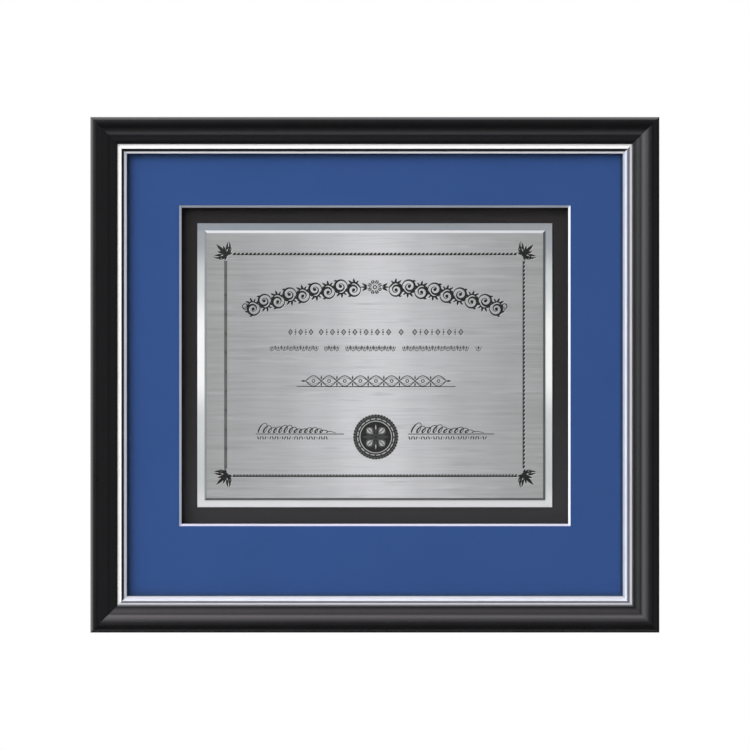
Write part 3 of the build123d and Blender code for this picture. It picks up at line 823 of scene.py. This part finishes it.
# painted glints: bright copies of the cuts, shifted right and down, under the dark fill
painted_glints = Inlay(front=GLINT_FRONT)
faint_painted_glints = Inlay(front=GLINT_FRONT)

# --- rope border with a palmette in each corner

BORDER_L, BORDER_T = at(225.9, 254.0)
BORDER_R, BORDER_B = at(523.9, 475.4)


def rope(inlay, start, end, pitch, thick, base_side, base_width=0.34, slant=0.5, glint=True):
    """Slanted strands from start to end with a base line along one side (1 left of the way, -1 right)."""
    start, end = np.asarray(start, float), np.asarray(end, float)
    length = float(np.linalg.norm(end - start))
    along = (end - start) / length
    side = np.array([-along[1], along[0]])
    count = max(2, round(length / pitch))
    step = length / count
    for k in range(count):
        middle = start + along * step * (k + 0.5)
        reach = along * step * slant + side * thick * 0.42 * -base_side
        inlay.outline(blade(middle - reach, middle + reach, thick * 0.74, steps=7, fullest=0.5), glint)
    line = np.linspace(0, 1, 2)[:, None] * (end - start) + start + side * base_side * thick * 0.40
    inlay.stroke(line, base_width, glint)


border = Inlay(painted_glints=faint_painted_glints)
GAP = 4.9
rope(border, (BORDER_L + GAP, BORDER_T), (BORDER_R - GAP, BORDER_T), 2.86, 1.9, -1, 0.62)
rope(border, (BORDER_L + GAP, BORDER_B), (BORDER_R - GAP, BORDER_B), 2.3, 2.0, -1, 0.70)
rope(border, (BORDER_R, BORDER_B + GAP), (BORDER_R, BORDER_T - GAP), 2.86, 1.75, 1, 0.70)
side_rope = Inlay(painted_glints=faint_painted_glints)
rope(side_rope, (BORDER_L, BORDER_B + GAP), (BORDER_L, BORDER_T - GAP), 1.25, 2.1, 1, 0.62, glint=False)
for shift, wide in ((0.72, 0.42), (0.0, 1.0)):
    ends = (BORDER_L + shift, BORDER_B + GAP), (BORDER_L + shift, BORDER_T - GAP)
    side_rope.stroke(np.array(ends), wide, False)


def palmette(inlay, corner, outward):
    """Three long leaves fanned outward, two short ones between them, and curls on the ropes."""
    lead = math.atan2(outward[1], outward[0])

    def way(angle, reach):
        return corner + reach * np.array([math.cos(lead + angle), math.sin(lead + angle)])

    inlay.outline(blade(way(0.0, 0.5), way(0.0, 9.8), 2.3, 0.0, fullest=0.42))
    for angle, reach, width, bend in ((1.0, 9.6, 3.5, 0.8), (-1.0, 9.6, 3.5, -0.8)):
        for half in leaf(way(angle, 0.7), way(angle, reach), width, bend, fullest=0.5):
            inlay.outline(half)
    for angle in (0.50, -0.50):
        inlay.outline(blade(way(angle, 0.8), way(angle, 6.4), 1.7, 0.0))
    for sign in (1, -1):
        for angle, reach, width in ((1.62, 5.6, 1.9), (2.12, 5.0, 1.6)):
            inlay.outline(blade(way(sign * angle, 0.8), way(sign * angle, reach), width, sign * 0.6))
        middle = way(sign * 1.36, 4.4)
        line, p = spiral(middle, 1.6, 0.45, lead + sign * 3.4, lead + sign * 3.4 - sign * 7.0, 30)
        inlay.stroke(line, 0.85 - 0.3 * p)
    inlay.disc(way(0.0, 0.0), 2.1)


corners = Inlay(painted_glints=painted_glints)
for cx, cz, ox, oz in (
    (BORDER_L, BORDER_T, -1, 1),
    (BORDER_R, BORDER_T, 1, 1),
    (BORDER_L, BORDER_B, -1, -1),
    (BORDER_R, BORDER_B, 1, -1),
):
    palmette(corners, np.array([cx, cz]), (ox, oz))

# --- arched band of scrolling vine

ARCH_R = 277.0
ARCH_Z = float(at(374.8, 287.2)[1])


def arched(points):
    """(along the arch, out from its middle line) to a place on the plate."""
    points = np.asarray(points, float)
    a, r = points[:, 0] / ARCH_R, ARCH_R + points[:, 1]
    return np.stack([r * np.sin(a), ARCH_Z - ARCH_R + r * np.cos(a)], 1)


vine = Inlay(painted_glints=painted_glints)
VINE_FROM, VINE_TO, WAVES, SWING = 10.4, 93.4, 9, 3.7
WAVE = (VINE_TO - VINE_FROM) / WAVES


def vine_side(mirror):
    def put_stroke(points, widths):
        line = arched(points)
        vine.stroke(mirrored(line) if mirror else line, widths)

    def put_outline(points):
        loop = arched(points)
        vine.outline(mirrored(loop) if mirror else loop)

    s = np.linspace(VINE_FROM, VINE_TO, 24 * WAVES + 1)
    phase = (s - VINE_FROM) / WAVE * math.pi
    stem = np.stack([s, SWING * np.sin(phase)], 1)
    put_stroke(stem, 1.00 + 0.40 * np.abs(np.sin(phase)) - 0.3 * (s - VINE_FROM) / (VINE_TO - VINE_FROM))
    for i in range(WAVES):
        sign = 1 if i % 2 == 0 else -1
        left, middle = VINE_FROM + i * WAVE, VINE_FROM + (i + 0.5) * WAVE
        centre = np.array([middle + 0.25, -sign * 1.55])
        rel = np.array([left, 0.0]) - centre
        start = math.atan2(rel[1], rel[0]) % (2 * math.pi)
        line, p = spiral(centre, float(np.linalg.norm(rel)), 1.15, start, start + sign * 9.4)
        put_stroke(line, 0.55 + 1.10 * np.sin(math.pi * np.minimum(1, p * 1.25)) ** 1.5)
        bud = np.linspace(0, 2 * math.pi, 18, endpoint=False)
        put_outline(np.stack([centre[0] + 1.15 * np.cos(bud), centre[1] + 1.15 * np.sin(bud)], 1))
        # leaves on the outside of the scroll
        for k, reach, width in ((14, 2.5, 1.35), (19, 2.9, 1.5), (24, 2.6, 1.35)):
            foot = line[k]
            away = (foot - centre) / np.linalg.norm(foot - centre)
            ahead = np.array([-away[1], away[0]]) * sign
            tip = foot + away * reach * 0.62 + ahead * reach * 0.78
            tip[1] = float(np.clip(tip[1], -7.7, 7.7))
            put_outline(blade(foot - ahead * 0.3, tip, width, -sign * 0.35, 9))
        # leaves on the crest of the stem
        for lean, foot_at, reach, width in ((0.2, -0.9, 3.4, 1.5), (0.9, 0.9, 3.5, 1.4), (-0.75, -2.0, 2.7, 1.2)):
            u = middle + foot_at
            foot = np.array([u, sign * SWING * math.sin((u - left) / WAVE * math.pi)])
            tip = foot + reach * np.array([math.sin(lean), sign * math.cos(lean)])
            tip[1] = float(np.clip(tip[1], -7.6, 7.6))
            put_outline(blade(foot, tip, width, -sign * 0.3, 9))
        # a berry in the fork
        fork = np.array([left + WAVE * 0.98, -sign * 0.2])
        berry = np.stack([fork[0] + 0.62 * np.cos(bud), fork[1] + 0.62 * np.sin(bud)], 1)
        put_outline(berry)
    # the last curl
    end = np.array([VINE_TO, 0.0])
    sign = 1 if WAVES % 2 == 0 else -1
    line, p = spiral(end + (0.3, -sign * 2.2), 2.25, 0.7, math.pi / 2 * sign + 0.1, (math.pi / 2 - 7.2) * sign, 34)
    put_stroke(line, 0.9 - 0.35 * p)


vine_side(False)
vine_side(True)


def rosette(inlay, centre, petals, reach, width, hub, start=0.0):
    for k in range(petals):
        a = start + 2 * math.pi * k / petals
        way = np.array([math.cos(a), math.sin(a)])
        for half in leaf(centre + way * hub, centre + way * reach, width, fullest=0.6):
            inlay.outline(half)


CREST = np.array([0.0, ARCH_Z])
rosette(vine, CREST, 8, 5.6, 2.5, 1.5, math.pi / 8)
vine.annulus(CREST, 1.5, 0.8, 24)
for side_sign in (1, -1):
    for dz, bend in ((1, 1), (-1, -1)):
        foot = CREST + (side_sign * 5.2, dz * 0.9)
        vine.outline(blade(foot, foot + (side_sign * 4.0, dz * 2.2), 1.5, side_sign * bend * -0.5, 10))
    vine.outline(blade(CREST + (side_sign * 5.0, 0), CREST + (side_sign * 10.6, 0), 1.3, 0.0, 10))

# --- small rows: lozenges and dots, then eggs and darts

rows = Inlay(painted_glints=faint_painted_glints)


def ellipse(centre, rx, rz, sides=20):
    a = np.linspace(0, 2 * math.pi, sides, endpoint=False)
    return np.stack([centre[0] + rx * np.cos(a), centre[1] + rz * np.sin(a)], 1)


def bead_row(inlay, x0, x1, z, high, pitch):
    count = 2 * round(((x1 - x0) / pitch - 1) / 2) + 1
    step = (x1 - x0) / count
    half = min(step, pitch) * 0.37
    for k in range(count):
        x = x0 + (k + 0.5) * step
        if k % 2 == 0:
            wide, tall = half * 1.28, high * 0.52
            inlay.ring(ellipse((x, z), wide, tall, 4), ellipse((x, z), wide - 0.98, tall - 1.08, 4))
            inlay.disc((x, z), 0.42, 12)
        else:
            for dz, radius in ((-1.6, 0.5), (0.0, 0.72), (1.6, 0.5)):
                inlay.disc((x, z + dz), radius, 12)


def dart_row(inlay, x0, x1, z, high, pitch):
    count = round((x1 - x0) / pitch)
    step = (x1 - x0) / count
    for k in range(count):
        x = x0 + (k + 0.5) * step
        a = np.linspace(math.pi * 0.92, math.pi * 2.08, 15)
        cup = np.stack([x + step * 0.30 * np.cos(a), z + high * 0.12 + high * 0.58 * np.sin(a)], 1)
        inlay.stroke(cup, 0.52)
        inlay.outline(ellipse((x, z + high * 0.06), step * 0.115, high * 0.26, 14))
        if k < count - 1:
            inlay.outline(blade((x + step * 0.5, z + high * 0.5), (x + step * 0.5, z - high * 0.5), 0.95, 0, 7, 0.35))


for first_px, last_px in ((288.0, 313.6), (318.4, 391.4), (396.6, 405.6), (411.8, 463.7)):
    bead_row(rows, at(first_px, 0)[0], at(last_px, 0)[0], at(0, 332.2)[1], 4.7, 4.0)
for first_px, last_px in ((269.0, 319.4), (323.4, 340.0), (344.6, 396.2), (401.4, 469.6), (474.0, 482.8)):
    dart_row(rows, at(first_px, 0)[0], at(last_px, 0)[0], at(0, 348.2)[1], 4.4, 4.3)

# --- guilloche band on its rule

band = Inlay(painted_glints=painted_glints)
NAME_Z = float(at(0, 381.0)[1])
NAME_X0, NAME_X1 = float(at(305.7, 0)[0]), float(at(446.2, 0)[0])
RULE_Z = float(at(0, 386.6)[1])
turns_across = 9
s = np.linspace(0, 1, 420)
for phase in (0.0, math.pi):
    for swing, wide in ((3.7, 0.66), (2.3, 0.32)):
        wave = np.stack(
            [
                NAME_X0 + (NAME_X1 - NAME_X0) * s,
                NAME_Z + swing * np.sin(s * math.pi * turns_across + phase),
            ],
            1,
        )
        band.stroke(wave, wide)
for k in range(turns_across):
    x = NAME_X0 + (NAME_X1 - NAME_X0) * (k + 0.5) / turns_across
    band.ring(ellipse((x, NAME_Z), 1.35, 1.35), ellipse((x, NAME_Z), 0.7, 0.7))
    for dz in (-1, 1):
        x_joint = NAME_X0 + (NAME_X1 - NAME_X0) * k / turns_across
        if k:
            band.outline(blade((x_joint, NAME_Z + dz * 1.0), (x_joint, NAME_Z + dz * 4.1), 1.1, 0, 9))
band.stroke([at(296.7, 386.6), at(376.0, 386.6), at(455.5, 386.6)], 0.66)
for px, way in ((305.7, -1), (446.2, 1)):
    foot = np.array([float(at(px, 0)[0]), NAME_Z])
    band.outline(blade(foot, foot + (way * 3.6, 0), 1.4, 0, 9))

# --- flourishes on their rules, with a row of ticks below

flourish = Inlay(painted_glints=faint_painted_glints)


def coils(inlay, x0, x1, z, loops, tall, slant, tail):
    """A penman's running coils: loops that lean and sink into a line."""
    n = loops * 26
    t = np.linspace(0, 1, n)
    a = 2 * math.pi * loops * t
    height = tall * (1 - 0.62 * t) * (0.78 + 0.22 * np.cos(2 * math.pi * t * 2.5))
    wide = (x1 - x0 - tail) / loops * 0.42
    x = x0 + wide + (x1 - x0 - tail - 2 * wide) * t - wide * np.sin(a)
    up = height * 0.5 * (1 - np.cos(a))
    x = x + slant * up
    line = np.stack([x, z + up], 1)
    press = np.clip(np.sin(a + 0.5), 0, 1)
    inlay.stroke(line, 0.52 + 0.62 * press)
    last = line[-1]
    e = np.linspace(0, 1, 22)
    sweep = np.stack([last[0] + tail * e, last[1] + 1.0 * np.sin(e * math.pi * 1.15) * (1 - 0.3 * e)], 1)
    inlay.stroke(sweep, 0.6 - 0.25 * e)


def ticks(inlay, x0, x1, z, high, pitch):
    """A row of short strokes in groups with dots between."""
    count = round((x1 - x0) / pitch)
    for k in range(count):
        x = x0 + (x1 - x0) * (k + 0.5) / count
        if k % 5 == 4:
            inlay.disc((x, z), 0.46, 10)
        else:
            lean = 0.35 if k % 2 else -0.35
            inlay.stroke([(x - lean, z - high / 2), (x, z), (x + lean, z + high / 2)], 0.78)


left_a, left_b = at(256.0, 434.0), at(343.8, 434.0)
right_a, right_b = at(408.0, 434.0), at(494.4, 434.0)
flourish.stroke([left_a, (left_a + left_b) / 2, left_b], 0.62)
flourish.stroke([right_a, (right_a + right_b) / 2, right_b], 0.62)
coils(flourish, left_a[0] + 0.5, left_b[0] - 4.0, left_a[1] + 1.0, 13, 7.2, 0.42, 7.0)
coils(flourish, right_a[0] + 1.0, right_b[0] - 5.5, right_a[1] + 1.0, 11, 7.6, 0.5, 9.0)
ticks(flourish, float(at(257.0, 0)[0]), float(at(328.0, 0)[0]), float(at(0, 437.9)[1]), 2.2, 1.75)
ticks(flourish, float(at(408.0, 0)[0]), float(at(487.0, 0)[0]), float(at(0, 437.9)[1]), 2.2, 1.75)

# --- rosette seal

ground = Inlay(painted_glints=painted_glints)
seal, shade = Inlay(front=SECOND_FRONT), Inlay(front=SECOND_FRONT + 0.008)
mid, facets, petals_over = Inlay(front=TOP_FRONT), Inlay(front=TOP_FRONT), Inlay(front=TOP_FRONT + 0.008)
SEAL = at(375.7, 436.9)
teeth = 44
a = np.linspace(0, 2 * math.pi, teeth * 4, endpoint=False)
unit = np.stack([np.cos(a), np.sin(a)], 1)
rim = 16.0 + 0.32 * np.cos(a * teeth)
ground.outline(unit * rim[:, None] + SEAL)


def compass(turn):
    return np.array([math.cos(turn), math.sin(turn)])


def arc_band(inlay, outer, inner, turn_from, turn_to, steps=8):
    """Part of a ring round the seal's middle, from one turn to another."""
    t = np.linspace(turn_from, turn_to, steps)
    way = np.stack([np.cos(t), np.sin(t)], 1)
    inlay.outline(np.concatenate([way * outer, way[::-1] * inner]) + SEAL)


for k in range(teeth):
    t = 2 * math.pi * k / teeth
    seal.outline(blade(SEAL + compass(t) * 14.3, SEAL + compass(t + 0.05) * 16.25, 1.2, 0.0, 7, 0.6))
seal.annulus(SEAL, 14.25, 13.55, 96)
seal.annulus(SEAL, 12.45, 11.75, 96)
seal.annulus(SEAL, 10.95, 9.4, 96)
# two bright rings, the outer one in links
for k in range(20):
    t = 2 * math.pi * k / 20
    arc_band(facets, 13.3, 12.65, t + 0.03, t + 0.25)
    mid.disc(SEAL + compass(t - 0.017) * 12.98, 0.34, 10)
facets.annulus(SEAL, 11.6, 11.05, 96)
# petals in the quarters on a grey ground, a dark bar across and slim lights up and down
seal.disc(SEAL, 9.6, 72)
for k in range(4):
    way = compass(math.pi / 2 * (k + 0.5))
    shade.outline(blade(SEAL + way * 1.9, SEAL + way * 9.5, 6.2, 0.0, 14, 0.58))
    for half in leaf(SEAL + way * 2.9, SEAL + way * 8.8, 3.7, fullest=0.6):
        facets.outline(half)
for way in (compass(0.0), compass(math.pi)):
    mid.outline(blade(SEAL + way * 0.6, SEAL + way * 9.6, 2.6, 0, 11, 0.5))
for way in (compass(math.pi / 2), compass(-math.pi / 2)):
    mid.outline(blade(SEAL + way * 1.6, SEAL + way * 9.2, 1.9, 0, 11, 0.5))
    petals_over.outline(blade(SEAL + way * 5.2, SEAL + way * 8.8, 0.8, 0, 9))
mid.annulus(SEAL, 2.0, 1.0, 28)

FILL_BLACK = engraving_fill("engraving_fill_black", "#1a1a19", "#262625")
FILL_GREY = engraving_fill("engraving_fill_grey", "#3a3a3c", "#474749")
FILL_MID = engraving_fill("engraving_fill_mid", "#585a59", "#6b6d6b")
GROUND = engraving_fill("engraving_fill_seal", "#4c4e4e", "#5b5d5c")
GLINT_METAL = glint_or_facet_metal("engraving_painted_glint", 0.88, 1.0)
PETAL = glint_or_facet_metal("engraving_petal_face", 0.50, 0.66)
border.piece("engraved_rope_border", FILL_BLACK)
side_rope.piece("engraved_side_rope", FILL_MID)
corners.piece("engraved_corner_palmettes", FILL_BLACK)
vine.piece("engraved_vine_band", FILL_BLACK)
rows.piece("engraved_bead_rows", FILL_GREY)
band.piece("engraved_guilloche_band", FILL_GREY)
flourish.piece("engraved_flourishes", FILL_BLACK)
ground.piece("engraved_seal_ground", GROUND)
seal.piece("engraved_seal_rings", FILL_BLACK)
mid.piece("engraved_seal_star", FILL_GREY)
shade.piece("engraved_seal_shades", GROUND)
facets.piece("engraved_seal_petals", PETAL, "plate_brushed")
petals_over.piece("engraved_seal_lights", PETAL, "plate_brushed")
painted_glints.piece("engraved_painted_glints", GLINT_METAL, "plate_brushed")
faint_painted_glints.piece("engraved_fine_painted_glints", GLINT_METAL, "plate_brushed")


# ---------------------------------------------------------------- studio


def floor():
    """A round pale floor below the frame. It thins out into the white beyond."""
    g = Graph("studio_floor")
    x, y, _ = g.xyz()
    away = g.math("SQRT", g.math("ADD", g.math("MULTIPLY", x, x), g.math("MULTIPLY", y, y)))
    mottle = g.noise(g.stretched(3, 3, 3), 1.0, 3.0)
    shader = g.put(
        "ShaderNodeBsdfPrincipled",
        {
            "Base Color": g.mix(mottle, linear("#e4e4e2"), linear("#eaeae8")),
            "Roughness": 0.6,
            "Specular IOR Level": 0.2,
        },
    )
    gone = g.put("ShaderNodeBsdfTransparent")
    # straight below the frame it isn't mirrored in the lacquer
    glossy = g.put("ShaderNodeLightPath").outputs["Is Glossy Ray"]
    hidden = g.math("MULTIPLY", g.remap(away, 0.65, 0.35, smooth=True), glossy)
    fade = g.math("MAXIMUM", g.remap(away, 0.5, 1.25, smooth=True), hidden)
    mixed = g.put("ShaderNodeMixShader", {0: fade, 1: shader.outputs[0], 2: gone.outputs[0]})
    g.output(mixed.outputs[0])
    steps, rings = 64, (0.0, 0.4, 0.75, 1.05, 1.3)
    points = [(0.0, 0.0, -0.95)]
    for r in rings[1:]:
        for k in range(steps):
            t = 2 * math.pi * k / steps
            points.append((r * math.cos(t), r * math.sin(t), -0.95))
    faces = [(0, 1 + k, 1 + (k + 1) % steps) for k in range(steps)]
    for ring in range(len(rings) - 2):
        a0, b0 = 1 + ring * steps, 1 + (ring + 1) * steps
        for k in range(steps):
            k2 = (k + 1) % steps
            faces.append((a0 + k, b0 + k, b0 + k2, a0 + k2))
    mesh = bpy.data.meshes.new("studio_floor")
    mesh.from_pydata(points, [], faces)
    mesh.materials.append(g.material)
    made = bpy.data.objects.new("studio_floor", mesh)
    SCENE.collection.objects.link(made)
    return made


def studio_world():
    """Soft light all round: bright to the left, above and behind, dim to the right and below, and
    dark straight ahead, as with a black card behind the lens. The camera sees plain white."""
    world = bpy.data.worlds.new("studio")
    world.use_nodes = True
    SCENE.world = world
    g = Graph("studio", world.node_tree)
    way = g.put("ShaderNodeTexCoord").outputs["Generated"]
    split = g.put("ShaderNodeSeparateXYZ", {0: way})

    def lobe(axis, inner, outer, strength):
        """Light round a direction, full within inner degrees of it and gone at outer."""
        unit = Vector(axis).normalized()
        near = g.put("ShaderNodeVectorMath", {0: way, 1: tuple(unit)}, operation="DOT_PRODUCT").outputs["Value"]
        return g.remap(near, math.cos(math.radians(outer)), math.cos(math.radians(inner)), 0.0, strength, True)

    lean = g.put(
        "ShaderNodeVectorMath", {0: way, 1: tuple(Vector((-0.5, -0.1, 0.86)).normalized())}, operation="DOT_PRODUCT"
    ).outputs["Value"]
    base = g.remap(lean, -0.5, 0.8, 0.045, 0.16, True)
    total = g.math("ADD", base, lobe((-0.95, -0.38, 0.0), 8, 32, 2.6))
    total = g.math("ADD", total, lobe((0.0, -0.38, 0.95), 8, 27, 2.6))
    total = g.math("ADD", total, lobe((-0.6, 0.75, 0.45), 20, 70, 0.9))
    total = g.math("ADD", total, lobe((0.55, -0.8, 0.0), 15, 45, 0.18))
    total = g.math("ADD", total, lobe((-0.94, 0.34, 0.0), 15, 42, 1.8))
    total = g.math("ADD", total, lobe((0.0, 0.34, 0.94), 15, 42, 1.8))
    total = g.math("ADD", total, lobe((0.58, 0.81, 0.08), 15, 44, 0.2))
    total = g.math("ADD", total, lobe((0.95, -0.36, 0.0), 8, 26, 0.12))
    # the card: narrow, and tall
    across = g.math("MULTIPLY", split.outputs[0], 1 / 0.17)
    up = g.math("MULTIPLY", split.outputs[2], 1 / 0.62)
    off = g.math("SQRT", g.math("ADD", g.math("MULTIPLY", across, across), g.math("MULTIPLY", up, up)))
    card = g.math("MULTIPLY", g.remap(off, 1.0, 0.5, 0.0, 0.9, True), g.remap(split.outputs[1], 0.0, -0.2))
    total = g.math("MULTIPLY", total, g.math("SUBTRACT", 1.0, card))
    studio = g.put("ShaderNodeBackground", {"Color": (1.0, 1.0, 1.0, 1.0), "Strength": total})
    white = g.put("ShaderNodeBackground", {"Color": (1.0, 1.0, 1.0, 1.0), "Strength": 1.0})
    path = g.put("ShaderNodeLightPath")
    mixed = g.put(
        "ShaderNodeMixShader", {0: path.outputs["Is Camera Ray"], 1: studio.outputs[0], 2: white.outputs[0]}
    )
    g.put("ShaderNodeOutputWorld", {0: mixed.outputs[0]})


def softbox(name, way, distance, size, radiance):
    """A square area light that faces the frame from a direction."""
    lamp = bpy.data.lights.new(name, "AREA")
    lamp.shape = "SQUARE"
    lamp.size = size
    lamp.energy = radiance * math.pi * size * size
    made = bpy.data.objects.new(name, lamp)
    SCENE.collection.objects.link(made)
    out = Vector(way).normalized()
    made.location = out * distance
    made.rotation_mode = "QUATERNION"
    made.rotation_quaternion = out.to_track_quat("Z", "Y")
    made.visible_camera = False
    return made


def camera():
    """A long lens straight in front, at the height of the frame's middle."""
    data = bpy.data.cameras.new("camera")
    data.sensor_fit = "HORIZONTAL"
    data.sensor_width = 36.0
    reach, across = 6.0, 750 / 1.4001 * MM
    data.lens = 36.0 * reach / across
    data.clip_start, data.clip_end = 0.1, 100.0
    made = bpy.data.objects.new("camera", data)
    SCENE.collection.objects.link(made)
    made.location = (0.10 * MM, -reach - 0.024, -0.14 * MM)
    made.rotation_euler = (math.pi / 2, 0.0, 0.0)
    SCENE.camera = made


floor()
studio_world()
softbox("key", (-0.577, -0.577, 0.577), 2.8, 2.1, 6.1)
camera()
SCENE.view_settings.view_transform = "Standard"
SCENE.view_settings.look = "None"
